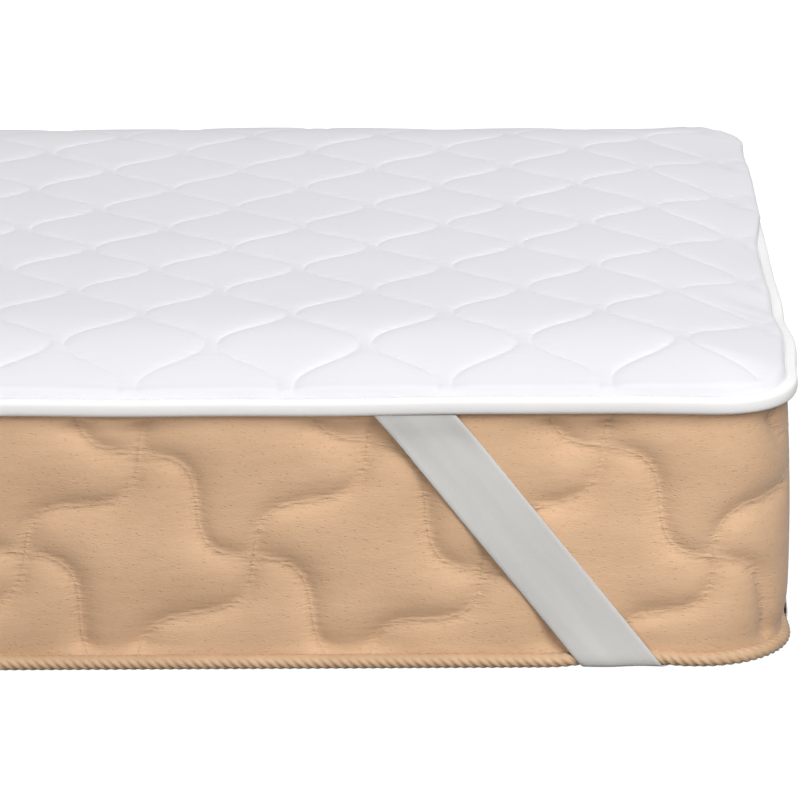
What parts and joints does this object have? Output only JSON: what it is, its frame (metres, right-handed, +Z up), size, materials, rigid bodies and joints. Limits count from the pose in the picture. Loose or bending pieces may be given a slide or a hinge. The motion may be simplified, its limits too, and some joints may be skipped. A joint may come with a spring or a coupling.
{
  "type": "mattress topper on a mattress",
  "caption": "White onion-quilted mattress topper with a bound rim and grey elastic corner straps, lying on a tan single mattress with quilted sides.",
  "frame": {"origin": "middle of the flat underside of the mattress, on the surface that it lies on", "axes": "+X along the length, +Z up, and the long side seen in the picture faces -Y"},
  "size_m": [2.02, 0.92, 0.2505],
  "materials": {
    "quilted_cloth": "white brushed polyester cloth, quilted",
    "binding_tape": "smooth white folded tape",
    "elastic": "fine-ribbed grey elastic",
    "mattress_cloth": "soft tan knitted cloth, quilted",
    "edge_cord": "twisted tan cord"
  },
  "bodies": {
    "root": {"topper_pad": "quilted_cloth", "topper_binding": "binding_tape", "corner_strap_front_right": "elastic", "corner_strap_front_left": "elastic", "corner_strap_back_right": "elastic", "corner_strap_back_left": "elastic", "mattress_body": "mattress_cloth", "mattress_edge_cord": "edge_cord"}
  },
  "joints": []
}
